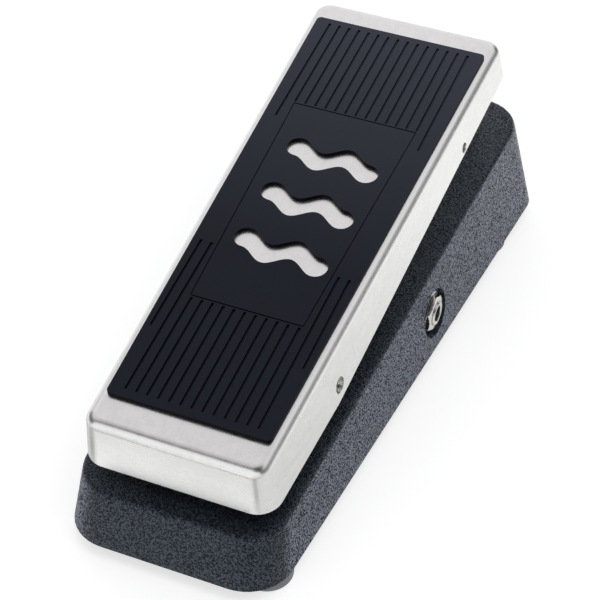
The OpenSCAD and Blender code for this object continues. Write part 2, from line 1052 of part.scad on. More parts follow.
// One bar of the motif: one and a half waves, ending on round ends whose centres are 2 * reach apart
module wave_bar(reach, thick, swing) {
  steps = 40;
  function wave(i) = swing * sin(270 * (2 * i / steps - 1));
  upper = [for (i = [0:steps]) [reach * (2 * i / steps - 1), wave(i) + thick / 2]];
  lower = [for (i = [steps:-1:0]) [reach * (2 * i / steps - 1), wave(i) - thick / 2]];
  polygon(concat(upper, lower));
  for (end = [0, 1])
    translate([reach * (2 * end - 1), wave(end * steps)])
      circle(r = thick / 2);
}

module motif() {
  spacing = 24;
  for (i = [0 : motif_bars - 1])
    translate([0.5, -2 + spacing * (i - (motif_bars - 1) / 2)])
      wave_bar(14.5, 9, 2.4);
}

// Straight groove in the top of the mat from one point to another
module groove(a, b, w, d) {
  run = b - a;
  translate([a[0], a[1], mat_t - d])
    rotate([0, 0, atan2(run[1], run[0])])
      translate([0, -w / 2, 0])
        cube([norm(run), w, d + 1]);
}

module tread_mat() {
  panel = [
    [-panel_heel_x, panel_y0], [panel_heel_x, panel_y0], [panel_toe_x, panel_y1], [-panel_toe_x, panel_y1]
  ];
  color("#20232c")
    on_treadle()
      translate([mat_shift, 0, mat_lift])
        difference() {
          linear_extrude(mat_t)
            mat_outline();
          translate([0, 0, -1])
            linear_extrude(mat_t + 2)
              motif();
          for (i = [0:3])
            groove(panel[i], panel[(i + 1) % 4], line_w, line_d);
          for (k = [-7:7]) {
            x = k * groove_pitch;
            // Toe end, then the heel end, past the panel's ends beside it
            toe_start = abs(x) > panel_toe_x ? strip_y1 : panel_y1 + 0.8;
            groove([x, toe_start], [x, groove_y1], groove_w, groove_d);
            heel_stop = abs(x) > panel_heel_x ? strip_y0 : panel_y0 - 0.8;
            heel_start = abs(k) < 7 ? groove_y0 : -72;
            groove([x, heel_start], [x, heel_stop], groove_w, groove_d);
          }
        }
}

module pivot_bushes() {
  color("#e8e6dc")
    both_sides()
      translate([0, pivot_y, pivot_z])
        tube_x(lug_x0, lug_x1, bush_r, shaft_r + running_gap);
}

module drive_pin() {
  color("#b9bcc1")
    translate([0, pin_rest[0], pin_rest[1]])
      rod_x(-8, 8, pin_r);
}

module pin_clips() {
  color("#7d8085")
    both_sides()
      translate([0, pin_rest[0], pin_rest[1]])
        difference() {
          tube_x(6.3, 6.9, 3, pin_r);
          translate([6, -0.9, -5])
            cube([2, 1.8, 4]);
        }
}

// Felt pad that meets the foot switch button
module switch_pad() {
  color("#3a3a3d")
    on_treadle()
      translate([0, pad_spot[0], pad_bottom])
        cylinder(r = 7, h = frame_under - pad_bottom);
}

// ---------- rack, pinion and button ----------

module rack_profile() {
  half_top = pitch / 4 - backlash / 2 - tooth_up * tan(pressure_angle);
  half_root = pitch / 4 - backlash / 2 + tooth_down * tan(pressure_angle);
  first = ceil((rack_bottom + pitch - pinion_z) / pitch);
  last = floor((rack_teeth_top - pinion_z) / pitch);
  translate([rack_back, rack_bottom])
    square([rack_root - rack_back, head_z0 - rack_bottom + 0.5]);
  for (i = [first:last])
    translate([rack_root, pinion_z + i * pitch])
      polygon([
        [-0.2, -half_root], [0, -half_root], [tooth_down + tooth_up, -half_top],
        [tooth_down + tooth_up, half_top], [0, half_root], [-0.2, half_root]
      ]);
}

module gear_rack() {
  slot_r = pin_r + 0.1;
  color("#efeee6")
    difference() {
      union() {
        translate([-rack_x, 0, 0])
          rotate([90, 0, 90])
            linear_extrude(2 * rack_x)
              rack_profile();
        translate([-rack_x, head_y0, head_z0])
          cube([2 * rack_x, head_y1 - head_y0, head_z1 - head_z0]);
      }
      // Slot for the drive pin, long enough for its swing towards the toe
      translate([0, pin_rest[0] - 0.1, pin_rest[1]])
        rod_x(-5, 5, slot_r);
      translate([0, pin_low[0] + 0.1, pin_rest[1]])
        rod_x(-5, 5, slot_r);
      translate([-5, pin_rest[0] - 0.1, pin_rest[1] - slot_r])
        cube([10, pin_low[0] - pin_rest[0] + 0.2, 2 * slot_r]);
    }
}

// Involute function, in degrees
function inv(a) = tan(a) * 180 / PI - a;
tooth_half = 90 / pinion_teeth - backlash / 2 / pitch_r * 90 / PI + inv(pressure_angle);
function flank_angle(r) = tooth_half - inv(acos(min(1, base_r / r)));

module pinion_outline() {
  steps = 4;
  flank = [for (i = [0:steps]) base_r + (tip_r - base_r) * i / steps];
  polygon([
    for (t = [0 : pinion_teeth - 1])
      let (mid = 360 / pinion_teeth * (t + 0.5))
        each concat(
          [[root_r * cos(mid - flank_angle(base_r)), root_r * sin(mid - flank_angle(base_r))]],
          [for (r = flank) [r * cos(mid - flank_angle(r)), r * sin(mid - flank_angle(r))]],
          [for (i = [steps:-1:0])
            [flank[i] * cos(mid + flank_angle(flank[i])), flank[i] * sin(mid + flank_angle(flank[i]))]],
          [[root_r * cos(mid + flank_angle(base_r)), root_r * sin(mid + flank_angle(base_r))]]
        )
  ]);
}

module pinion_gear() {
  color("#efeee6")
    translate([-pinion_x, pinion_y, pinion_z])
      rotate([90, 0, 90])
        difference() {
          linear_extrude(2 * pinion_x)
            rotate([0, 0, 180])
              pinion_outline();
          translate([0, 0, -1])
            cylinder(r = shaft_r, h = 10);
        }
}

module pot_shaft() {
  color("#c9cacc")
    translate([0, pinion_y, pinion_z])
      rod_x(-pinion_x, pot_back - 3, shaft_r);
}

module footswitch_button() {
  color("#c9cacc")
    on_top(switch_y)
      rotate_extrude()
        polygon(concat(
          [[0, -7.8], [plunger_r, -7.8], [plunger_r, button_top - button_h], [button_r, button_top - button_h]],
          [for (a = [0:15:90]) [button_r - 1 + cos(a), button_top - 1 + sin(a)]], [[0, button_top]]
        ));
}

housing();
base_plate();
rubber_feet();
foot_screws();
input_jack();
output_jack();
jack_bushings();
jack_washers();
jack_nuts();
jack_springs();
power_socket();
power_nut();
power_pin();
footswitch_body();
footswitch_bushing();
footswitch_lugs();
footswitch_nuts();
footswitch_washer();
pot_bracket();
bracket_screws();
pot_body();
pot_lugs();
pot_nut();
rack_guide();
guide_screws();
circuit_board();
board_screws();
inductor();
film_capacitors();
can_capacitors();
transistors();
resistors();
battery();
battery_bracket();
battery_clip();
signal_wires();
power_wires();
pivot_shaft();
pivot_nuts();
pivot_washers();
friction_washers();
heel_bumpers();
toe_bumpers();
treadle_cover();
treadle_frame();
cover_screws();
cover_dowels();
tread_mat();
pivot_bushes();
drive_pin();
pin_clips();
switch_pad();
gear_rack();
pinion_gear();
pot_shaft();
footswitch_button();
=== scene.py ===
"""Looks of the rocker effects pedal: materials, finished edges, studio and camera."""

import json
import math

import bmesh
import bpy
from mathutils import Matrix, Vector


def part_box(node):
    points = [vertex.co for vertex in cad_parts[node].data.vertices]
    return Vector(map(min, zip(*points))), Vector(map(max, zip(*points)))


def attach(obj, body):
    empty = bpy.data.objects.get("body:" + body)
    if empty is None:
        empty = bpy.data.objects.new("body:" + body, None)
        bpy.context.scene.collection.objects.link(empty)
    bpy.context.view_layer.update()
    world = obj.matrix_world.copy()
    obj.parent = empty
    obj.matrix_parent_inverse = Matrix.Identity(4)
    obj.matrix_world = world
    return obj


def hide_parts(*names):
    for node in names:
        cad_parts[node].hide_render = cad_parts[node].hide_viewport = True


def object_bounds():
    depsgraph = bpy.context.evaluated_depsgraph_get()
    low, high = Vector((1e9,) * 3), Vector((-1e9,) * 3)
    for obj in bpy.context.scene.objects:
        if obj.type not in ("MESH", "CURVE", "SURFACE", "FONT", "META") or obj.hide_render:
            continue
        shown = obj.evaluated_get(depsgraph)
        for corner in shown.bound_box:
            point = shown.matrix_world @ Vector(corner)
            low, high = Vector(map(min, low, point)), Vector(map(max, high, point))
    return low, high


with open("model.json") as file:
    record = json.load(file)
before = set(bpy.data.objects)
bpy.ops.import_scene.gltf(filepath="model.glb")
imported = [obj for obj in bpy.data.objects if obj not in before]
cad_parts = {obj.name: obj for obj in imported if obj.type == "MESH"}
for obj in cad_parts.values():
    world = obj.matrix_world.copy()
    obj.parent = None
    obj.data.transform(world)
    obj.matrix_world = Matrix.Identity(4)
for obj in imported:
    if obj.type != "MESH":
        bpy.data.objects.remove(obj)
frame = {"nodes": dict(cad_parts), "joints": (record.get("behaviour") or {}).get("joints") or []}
CAD_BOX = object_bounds()
NODES = frame["nodes"]

MM = 0.001
WELD_GAP = 0.001 * MM
FLAT_ANGLE = math.radians(0.9)  # faces closer than this to one plane become one
BEVEL_ANGLE = math.radians(35)  # edges sharper than this are eased
SHARP_ANGLE = math.radians(32)  # edges sharper than this stay crisp on turned pieces

ACROSS = (1, 0, 0)


# ---------- node helpers ----------


class Graph:
    """A node tree, with short calls that add nodes. A value is a number, a tuple or a socket."""

    def __init__(self, tree):
        self.nodes = tree.nodes
        self.links = tree.links

    def feed(self, socket, value):
        """Links another node's output to a socket, or gives the socket a plain value."""
        if isinstance(value, bpy.types.NodeSocket):
            self.links.new(value, socket)
        elif socket.type == "RGBA":
            socket.default_value = (*value, 1.0)
        else:
            socket.default_value = value

    def add(self, kind, **sockets):
        """Adds a node and feeds its sockets, where an underscore stands for a space."""
        node = self.nodes.new(kind)
        for name, value in sockets.items():
            self.feed(node.inputs[name.replace("_", " ")], value)
        return node

    def math(self, operation, *values):
        node = self.nodes.new("ShaderNodeMath")
        node.operation = operation
        for socket, value in zip(node.inputs, values):
            self.feed(socket, value)
        return node.outputs[0]

    def compare(self, operation, a, b):
        """Number that a vector operation, such as DOT_PRODUCT, makes of two vectors."""
        node = self.nodes.new("ShaderNodeVectorMath")
        node.operation = operation
        for socket, value in zip(node.inputs, (a, b)):
            self.feed(socket, value)
        return node.outputs["Value"]

    def split(self, vector):
        """The X, Y and Z outputs of a vector."""
        return self.add("ShaderNodeSeparateXYZ", Vector=vector).outputs

    def span(self, value, low, high, to_low=0.0, to_high=1.0, smooth=False):
        """Number from to_low to to_high as value goes from low to high, and level outside."""
        node = self.add("ShaderNodeMapRange", Value=value, From_Min=low, From_Max=high,
                        To_Min=to_low, To_Max=to_high)
        node.interpolation_type = "SMOOTHSTEP" if smooth else "LINEAR"
        return node.outputs["Result"]

    def between(self, factor, a, b):
        """Number that goes from a to b with a factor from 0 to 1."""
        return self.span(factor, 0.0, 1.0, a, b)

    def ramp(self, source, *stops):
        """Number read from stops of (position, value) at source."""
        node = self.nodes.new("ShaderNodeValToRGB")
        elements = node.color_ramp.elements
        while len(elements) < len(stops):
            elements.new(0.5)
        for element, (position, value) in zip(elements, stops):
            element.position = position
            element.color = (value, value, value, 1)
        self.feed(node.inputs["Fac"], source)
        return node.outputs["Color"]


class Shader(Graph):
    """A new material with a principled surface."""

    def __init__(self, name):
        self.material = bpy.data.materials.new(name)
        self.material.use_nodes = True
        super().__init__(self.material.node_tree)

    def finish(self, **sockets):
        """Feeds sockets of the surface, where an underscore stands for a space."""
        surface = self.nodes["Principled BSDF"]
        for name, value in sockets.items():
            self.feed(surface.inputs[name.replace("_", " ")], value)

    def place(self, stretch=(1, 1, 1)):
        """Position on the object in millimetres, stretched along the axes."""
        at = self.nodes.new("ShaderNodeTexCoord").outputs["Object"]
        scale = [s / MM for s in stretch]
        return self.add("ShaderNodeMapping", Vector=at, Scale=scale).outputs["Vector"]

    def noise(self, at, scale, detail=2.0, rough=0.5, distortion=0.0):
        return self.add("ShaderNodeTexNoise", Vector=at, Scale=scale, Detail=detail,
                        Roughness=rough, Distortion=distortion).outputs["Fac"]

    def mix(self, factor, a, b):
        """Colour between a and b."""
        node = self.nodes.new("ShaderNodeMix")
        node.data_type = "RGBA"
        for socket, value in zip((node.inputs[0], *node.inputs[6:8]), (factor, a, b)):
            self.feed(socket, value)
        return node.outputs[2]

    def bump(self, height, depth_mm, strength=1.0):
        """Surface relief of a height field, depth_mm deep."""
        return self.add("ShaderNodeBump", Height=height, Strength=strength,
                        Distance=depth_mm * MM).outputs["Normal"]

    def facing(self, direction):
        """How far the surface faces a direction on the object: 1 facing it, 0 side on."""
        normal = self.nodes.new("ShaderNodeTexCoord").outputs["Normal"]
        return self.compare("DOT_PRODUCT", normal, Vector(direction).normalized())


# ---------- materials ----------


def crackle_paint():
    """Blue-black crackle enamel on a casting: packed glossy crests between dull valleys, which are
    painted darker as painted shade.

    It is dark where it is seen straight on, and its crests stand out where it is seen aslant,
    where crests and valleys are both painted lighter as painted sheen.
    """
    s = Shader("crackle_paint")
    at = s.place()
    blister = s.noise(at, scale=1.3, distortion=0.25)
    fine = s.noise(at, scale=2.6)
    relief = s.math("ADD", s.math("MULTIPLY", blister, 1.4), s.math("MULTIPLY", fine, 0.7))
    crest = s.span(relief, 0.93, 1.15, smooth=True)
    view = s.nodes.new("ShaderNodeLayerWeight").outputs["Facing"]
    aslant = s.span(view, 0.38, 0.62, smooth=True)
    # painted sheen: both colours turn lighter where the surface is seen aslant; painted shade: the
    # valleys are darker than the crests
    crest_paint_with_painted_sheen = s.mix(aslant, (0.015, 0.0205, 0.029), (0.128, 0.146, 0.198))
    valley_painted_shade_and_sheen = s.mix(aslant, (0.002, 0.003, 0.006), (0.011, 0.012, 0.020))
    crest_shine = s.between(aslant, 0.80, 0.93)
    valley_shine = s.between(aslant, 0.22, 0.03)
    s.finish(
        Base_Color=s.mix(crest, valley_painted_shade_and_sheen, crest_paint_with_painted_sheen),
        Roughness=s.between(crest, 0.42, 0.22),
        Specular_IOR_Level=s.between(crest, valley_shine, crest_shine),
        Specular_Tint=(0.74, 0.87, 1.0),
        Normal=s.bump(relief, 0.4, s.between(aslant, 0.7, 1.0)),
    )
    return s.material


def satin_steel():
    """Nickel-plated pressed steel with a bead-blasted satin skin, a faint mottle and rub marks;
    its top is tinted pinker than its sides as a painted reflection.
    """
    s = Shader("satin_steel")
    speck = s.noise(s.place(), scale=2.2, detail=3.0, rough=0.6)
    mottle = s.noise(s.place((1.0, 0.6, 1.0)), scale=0.35, detail=4.0, rough=0.65)
    smear = s.noise(s.place((1, 0.5, 1)), scale=0.05, detail=3.0, rough=0.6)
    cloud = s.math("ADD", s.math("MULTIPLY", speck, 0.45), s.math("MULTIPLY", mottle, 0.55))
    blend = s.span(cloud, 0.38, 0.62)
    sides = s.mix(blend, (0.80, 0.80, 0.77), (0.89, 0.895, 0.87))
    # painted reflection: the colour of the top is tinted pinker than the sides
    flat = s.mix(blend, (0.80, 0.765, 0.765), (0.90, 0.865, 0.865))
    s.finish(
        Metallic=1.0,
        Base_Color=s.mix(s.span(s.facing(treadle_up()), 0.7, 0.95), sides, flat),
        Roughness=s.math("ADD", s.span(mottle, 0.3, 0.7, 0.24, 0.31),
                         s.span(smear, 0.35, 0.7, 0.0, 0.05)),
        Normal=s.bump(speck, 0.016),
    )
    return s.material


def plated(name, color, roughness):
    """Machined and plated metal with a faint tool grain."""
    s = Shader(name)
    grain = s.noise(s.place((1.0, 1.0, 4.0)), scale=3.0, detail=4.0, rough=0.6)
    stain = s.noise(s.place(), scale=0.4, detail=3.0, rough=0.6)
    dark = tuple(c * 0.78 for c in color)
    s.finish(
        Metallic=1.0,
        Base_Color=s.mix(s.span(stain, 0.35, 0.65), dark, color),
        Roughness=s.span(grain, 0.3, 0.7, roughness * 0.75, roughness * 1.3),
        Normal=s.bump(grain, 0.006),
    )
    return s.material


def cast_alloy():
    """Bare die-cast alloy with a dull, slightly pitted skin."""
    s = Shader("cast_alloy")
    at = s.place()
    skin = s.noise(at, scale=0.9, detail=5.0, rough=0.65)
    pits = s.add("ShaderNodeTexVoronoi", Vector=at, Scale=0.8).outputs["Distance"]
    s.finish(
        Metallic=1.0,
        Base_Color=s.mix(skin, (0.36, 0.37, 0.385), (0.55, 0.56, 0.565)),
        Roughness=s.span(skin, 0.3, 0.7, 0.42, 0.62),
        Normal=s.bump(s.math("ADD", skin, s.span(pits, 0.0, 0.25, -0.6, 0.0)), 0.05),
    )
    return s.material


def rubber_skin(s, dark, light, roughness):
    """Gives a shader a finely pebbled rubber skin, and returns the rubber's clouded colour."""
    at = s.place()
    pebble = s.noise(at, scale=1.8, detail=4.0, rough=0.6)
    cloud = s.noise(at, scale=0.06, detail=4.0, rough=0.6)
    s.finish(
        Roughness=s.span(pebble, 0.3, 0.7, roughness * 0.88, roughness * 1.1),
        Normal=s.bump(pebble, 0.03),
    )
    return s.mix(s.span(cloud, 0.35, 0.7), dark, light)


def rubber(name, dark, light):
    """Moulded rubber with a finely pebbled skin."""
    s = Shader(name)
    s.finish(Base_Color=rubber_skin(s, dark, light, 0.6))
    return s.material


def tread_rubber():
    """Blue-black rubber of the mat, painted paler towards the toe as painted sheen, with dull side
    walls painted darker as painted shade.
    """
    s = Shader("tread_rubber")
    fresh = rubber_skin(s, (0.0010, 0.0026, 0.0100), (0.0016, 0.0036, 0.0125), 0.42)
    # painted sheen: the colour turns paler towards the toe
    toe_painted_sheen = s.mix(s.span(s.split(s.place())["Y"], -30, 110), fresh, (0.038, 0.042, 0.062))
    # painted shade: the side walls are painted darker, and they are also given less specular
    side_wall_painted_shade = s.span(s.facing(treadle_up()), 0.97, 0.6, smooth=True)
    s.finish(
        Base_Color=s.mix(side_wall_painted_shade, toe_painted_sheen, (0.002, 0.0025, 0.004)),
        Specular_IOR_Level=s.between(side_wall_painted_shade, 0.2, 0.05),
    )
    return s.material


def plastic(name, color, roughness, translucent=0.0):
    """Moulded plastic with a faint flow texture."""
    s = Shader(name)
    at = s.place()
    texture = s.noise(at, scale=1.2, detail=4.0, rough=0.55)
    cloud = s.noise(at, scale=0.12, detail=3.0)
    shade = tuple(c * 0.82 for c in color)
    s.finish(
        Base_Color=s.mix(s.span(cloud, 0.35, 0.65), shade, color),
        Roughness=s.span(texture, 0.3, 0.7, roughness * 0.85, roughness * 1.2),
        Normal=s.bump(texture, 0.012),
    )
    if translucent:
        s.finish(
            Subsurface_Weight=translucent,
            Subsurface_Radius=(1.2 * MM, 1.0 * MM, 0.8 * MM),
            Subsurface_Scale=1.0,
        )
    return s.material


def powder_coat():
    """Black powder coat on the base plate, with an orange-peel surface."""
    s = Shader("powder_coat")
    peel = s.noise(s.place(), scale=0.8, rough=0.45)
    scuff = s.noise(s.place((0.2, 1, 1)), scale=0.5, detail=5.0, rough=0.7)
    s.finish(
        Base_Color=s.mix(s.span(scuff, 0.55, 0.75), (0.016, 0.017, 0.02), (0.05, 0.05, 0.054)),
        Roughness=s.span(scuff, 0.4, 0.7, 0.55, 0.38),
        Normal=s.bump(peel, 0.08),
    )
    return s.material


def circuit_laminate():
    """Green board with the paler lines of its copper tracks under the resist."""
    s = Shader("circuit_laminate")
    tracks = s.add("ShaderNodeTexBrick", Vector=s.place((1, 1, 0)), Scale=0.22,
                   Mortar_Size=0.06, Mortar_Smooth=0.3).outputs["Fac"]
    s.finish(
        Base_Color=s.mix(tracks, (0.02, 0.10, 0.035), (0.07, 0.22, 0.08)),
        Roughness=s.span(s.noise(s.place(), scale=0.5), 0.3, 0.7, 0.28, 0.42),
        Normal=s.bump(tracks, 0.03),
    )
    return s.material


def felt():
    """Dense wool felt."""
    s = Shader("felt")
    fibres = s.noise(s.place((1, 1, 2.5)), scale=3.0, detail=6.0, rough=0.75, distortion=1.5)
    s.finish(
        Base_Color=s.mix(fibres, (0.02, 0.02, 0.022), (0.11, 0.11, 0.12)),
        Roughness=0.95,
        Normal=s.bump(fibres, 0.25),
        Sheen_Weight=0.4,
    )
    return s.material


def banded(name, body, stripe, pitch_mm):
    """Lacquered body with thin rings across X."""
    s = Shader(name)
    wave = s.add("ShaderNodeTexWave", Vector=s.place(), Scale=0.31 / pitch_mm)
    wave.bands_direction = "X"
    s.finish(
        Base_Color=s.mix(s.span(wave.outputs["Fac"], 0.8, 0.86), body, stripe),
        Roughness=0.35,
        Normal=s.bump(s.noise(s.place(), scale=1.5), 0.02),
    )
    return s.material


def treadle_up():
    """Direction square to the treadle's top at rest."""
    low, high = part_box("tread_mat")
    rise = high.z - low.z
    run = high.y - low.y
    return (0, -rise, run)


def build_materials():
    """Material of every frame node, by name."""
    bumper = rubber("bumper_rubber", (0.016, 0.016, 0.018), (0.03, 0.03, 0.033))
    table = {
        "housing": crackle_paint(),
        "base_plate": powder_coat(),
        "treadle_cover": satin_steel(),
        "treadle_frame": cast_alloy(),
        "tread_mat": tread_rubber(),
        "rubber_feet": rubber("foot_rubber", (0.16, 0.17, 0.18), (0.24, 0.25, 0.26)),
        "heel_bumpers": bumper,
        "toe_bumpers": bumper,
        "switch_pad": felt(),
        "circuit_board": circuit_laminate(),
        "footswitch_body": plastic("switch_blue", (0.03, 0.10, 0.30), 0.35),
        "pot_body": plated("pot_can", (0.50, 0.47, 0.38), 0.38),
        "inductor": plastic("coil_red", (0.42, 0.03, 0.02), 0.3),
        "film_capacitors": plastic("film_blue", (0.03, 0.13, 0.33), 0.3),
        "can_capacitors": plastic("sleeve_grey", (0.03, 0.045, 0.07), 0.3),
        "transistors": plastic("epoxy_black", (0.02, 0.02, 0.022), 0.55),
        "resistors": banded("resistor_tan", (0.62, 0.42, 0.22), (0.18, 0.05, 0.02), 1.6),
        "battery": banded("battery_wrap", (0.05, 0.055, 0.065), (0.35, 0.30, 0.18), 26.0),
        "signal_wires": plastic("wire_white", (0.70, 0.70, 0.66), 0.4),
        "power_wires": plastic("wire_red", (0.42, 0.03, 0.02), 0.4),
    }
    shared = (
        (plated("nickel", (0.80, 0.78, 0.74), 0.2),
         "jack_bushings jack_washers jack_nuts footswitch_bushing footswitch_nuts "
         "footswitch_washer footswitch_button pivot_nuts pivot_washers pot_nut power_pin "
         "cover_screws pot_shaft"),
        (plated("zinc", (0.60, 0.61, 0.63), 0.32),
         "foot_screws bracket_screws guide_screws board_screws pot_bracket battery_bracket "
         "power_nut pivot_shaft drive_pin pin_clips cover_dowels"),
        (plated("tinned_brass", (0.72, 0.60, 0.36), 0.3),
         "jack_springs footswitch_lugs pot_lugs"),
        (plastic("nylon", (0.78, 0.76, 0.69), 0.42, translucent=0.25),
         "rack_guide gear_rack pinion_gear pivot_bushes friction_washers"),
        (plastic("black_plastic", (0.018, 0.018, 0.02), 0.38),
         "input_jack output_jack power_socket battery_clip"),
    )
    for material, names in shared:
        table.update(dict.fromkeys(names.split(), material))
    return table


# ---------- finishing the carried-over nodes ----------


def dress(piece, material, bevel_mm):
    """Gives a frame node's object its material and eases its sharp edges by bevel_mm."""
    piece.data.materials.clear()
    piece.data.materials.append(material)
    piece.data.shade_smooth()
    weld = piece.modifiers.new("weld", "WELD")
    weld.merge_threshold = WELD_GAP
    flat = piece.modifiers.new("flat_faces", "DECIMATE")
    flat.decimate_type = "DISSOLVE"
    flat.angle_limit = FLAT_ANGLE
    bevel = piece.modifiers.new("bevel", "BEVEL")
    bevel.width = bevel_mm * MM
    bevel.segments = 2
    bevel.limit_method = "ANGLE"
    bevel.angle_limit = BEVEL_ANGLE
    normal = piece.modifiers.new("normals", "WEIGHTED_NORMAL")
    normal.weight = 50
    normal.keep_sharp = True


def dress_all(table):
    missing = sorted(set(NODES) - set(table))
    if missing:
        raise RuntimeError(f"no material for {missing}")
    usual_mm = 0.12
    softer_mm = {"housing": 0.35, "treadle_cover": 0.25, "tread_mat": 0.15, "rubber_feet": 0.3}
    for name, piece in NODES.items():
        dress(piece, table[name], softer_mm.get(name, usual_mm))


# ---------- turned and threaded pieces ----------


def solids(node):
    """The separate solids of a frame node, each as a list of its corner positions."""
    mesh = bmesh.new()
    mesh.from_mesh(NODES[node].data)
    bmesh.ops.remove_doubles(mesh, verts=mesh.verts, dist=WELD_GAP)
    mesh.verts.index_update()
    seen = set()
    groups = []
    for vert in mesh.verts:
        if vert.index in seen:
            continue
        group = []
        front = [vert]
        seen.add(vert.index)
        while front:
            here = front.pop()
            group.append(here.co.copy())
            for edge in here.link_edges:
                other = edge.other_vert(here)
                if other.index not in seen:
                    seen.add(other.index)
                    front.append(other)
        groups.append(group)
    mesh.free()
    return groups


class Turned:
    """Measures of a solid round an axis: its place, length, two radii and a corner's angle."""

    def __init__(self, points, axis):
        up = Vector((0, 0, 1))
        turn = Vector(axis).normalized().rotation_difference(up).to_matrix()
        local = [turn @ p for p in points]
        low = Vector([min(p[i] for p in local) for i in range(3)])
        high = Vector([max(p[i] for p in local) for i in range(3)])
        centre = (low + high) / 2
        flat = [Vector((p.x - centre.x, p.y - centre.y)) for p in local]
        widest = max(flat, key=lambda p: round(p.length, 7))
        self.length = high.z - low.z
        self.outer = widest.length
        self.inner = min(p.length for p in flat)
        self.corner = math.atan2(widest.y, widest.x)
        start = Matrix.Translation((centre.x, centre.y, low.z))
        self.place = turn.transposed().to_4x4() @ start


def ring(radius_at, z, count, start=0.0):
    """Ring of count points at height z, where radius_at gives a radius by the angle from start."""
    points = []
    for k in range(count):
        angle = 2 * math.pi * k / count
        radius = radius_at(angle)
        points.append((radius * math.cos(start + angle), radius * math.sin(start + angle), z))
    return points


def bore(m, sink, count, start=0.0):
    """Rings down a turned piece's bore, from its top to its foot, countersunk at both ends."""
    wide = m.inner + sink
    steps = ((wide, m.length), (m.inner, m.length - sink), (m.inner, sink), (wide, 0.0))
    return [ring(lambda angle: radius, z, count, start) for radius, z in steps]


def loop_mesh(name, rings, place):
    """Closed mesh through rings of points, where the last ring joins the first again."""
    count = len(rings[0])
    points = [place @ Vector(p) for ring_points in rings for p in ring_points]
    faces = []
    for i in range(len(rings)):
        here = i * count
        there = (i + 1) % len(rings) * count
        for k in range(count):
            after = (k + 1) % count
            faces.append((here + k, here + after, there + after, there + k))
    mesh = bpy.data.meshes.new(name)
    mesh.from_pydata(points, [], faces)
    mesh.shade_smooth()
    return mesh


def hex_nut(name, m):
    """Hexagon nut with both faces chamfered to a cone and a countersunk bore."""
    count = 96
    half_side = math.radians(30)
    apothem = m.outer * math.cos(half_side)
    face = apothem * 0.955
    slope = 1 / math.tan(math.radians(30))
    sink = 0.25 * MM

    def outline(z):
        depth = min(z, m.length - z)

        def radius_at(angle):
            beside = math.radians(math.degrees(angle) % 60) - half_side
            return min(apothem / math.cos(beside), face + depth * slope)

        return ring(radius_at, z, count, m.corner)

    steps = [apothem * share for share in (0.0, 0.025, 0.05, 0.08, 0.13)]
    outside = [outline(d) for d in steps] + [outline(m.length - d) for d in reversed(steps)]
    return loop_mesh(name, outside + bore(m, sink, count, m.corner), m.place)


def threaded_sleeve(name, m, pitch_mm):
    """Tube with an outside screw thread that fades at both chamfered ends."""
    count = 48
    rings_per_turn = 8
    fewest_steps = 8
    chamfer = 0.35 * MM
    sink = 0.3 * MM
    pitch = pitch_mm * MM
    depth = 0.3 * pitch
    steps = max(fewest_steps, round(m.length / pitch * rings_per_turn))
    rings = []
    for i in range(steps + 1):
        z = m.length * i / steps
        cut = max(0.0, chamfer - min(z, m.length - z))

        def radius_at(angle):
            wave = 0.5 - 0.5 * math.cos(2 * math.pi * z / pitch - angle)
            return m.outer - max(depth * wave, cut)

        rings.append(ring(radius_at, z, count))
    return loop_mesh(name, rings + bore(m, sink, count), m.place)


def stand_in(node, name, axis, build, material):
    """Shows one mesh, built for every solid of a frame node on the base, in that node's place."""
    target = bmesh.new()
    for i, points in enumerate(solids(node)):
        part = build(f"{name}_{i}", Turned(points, axis))
        target.from_mesh(part)
        bpy.data.meshes.remove(part)
    bmesh.ops.recalc_face_normals(target, faces=target.faces)
    mesh = bpy.data.meshes.new(name)
    target.to_mesh(mesh)
    target.free()
    mesh.set_sharp_from_angle(angle=SHARP_ANGLE)
    mesh.materials.append(material)
    piece = bpy.data.objects.new(name, mesh)
    bpy.context.scene.collection.objects.link(piece)
    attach(piece, "base")
    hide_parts(node)


def joint_axis(name):
    return next(j for j in frame["joints"] if j["name"] == name)["axis"]


def build_hardware(table):
    """Chamfered nuts and threaded bushings in place of the frame's plain ones."""
    switch = [-c for c in joint_axis("footswitch_press")]
    nuts = (
        ("jack_nuts", ACROSS, "nickel"),
        ("pivot_nuts", ACROSS, "zinc_steel"),
        ("pot_nut", ACROSS, "nickel"),
        ("power_nut", ACROSS, "zinc_steel"),
        ("footswitch_nuts", switch, "nickel"),
    )
    for node, axis, slot in nuts:
        stand_in(node, node + "_chamfered", axis, hex_nut, table[node])
    sleeves = (("jack_bushings", ACROSS, 0.8), ("footswitch_bushing", switch, 0.75))
    for node, axis, pitch_mm in sleeves:
        stand_in(node, node + "_threaded", axis,
                 lambda name, m: threaded_sleeve(name, m, pitch_mm), table[node])


# ---------- studio ----------


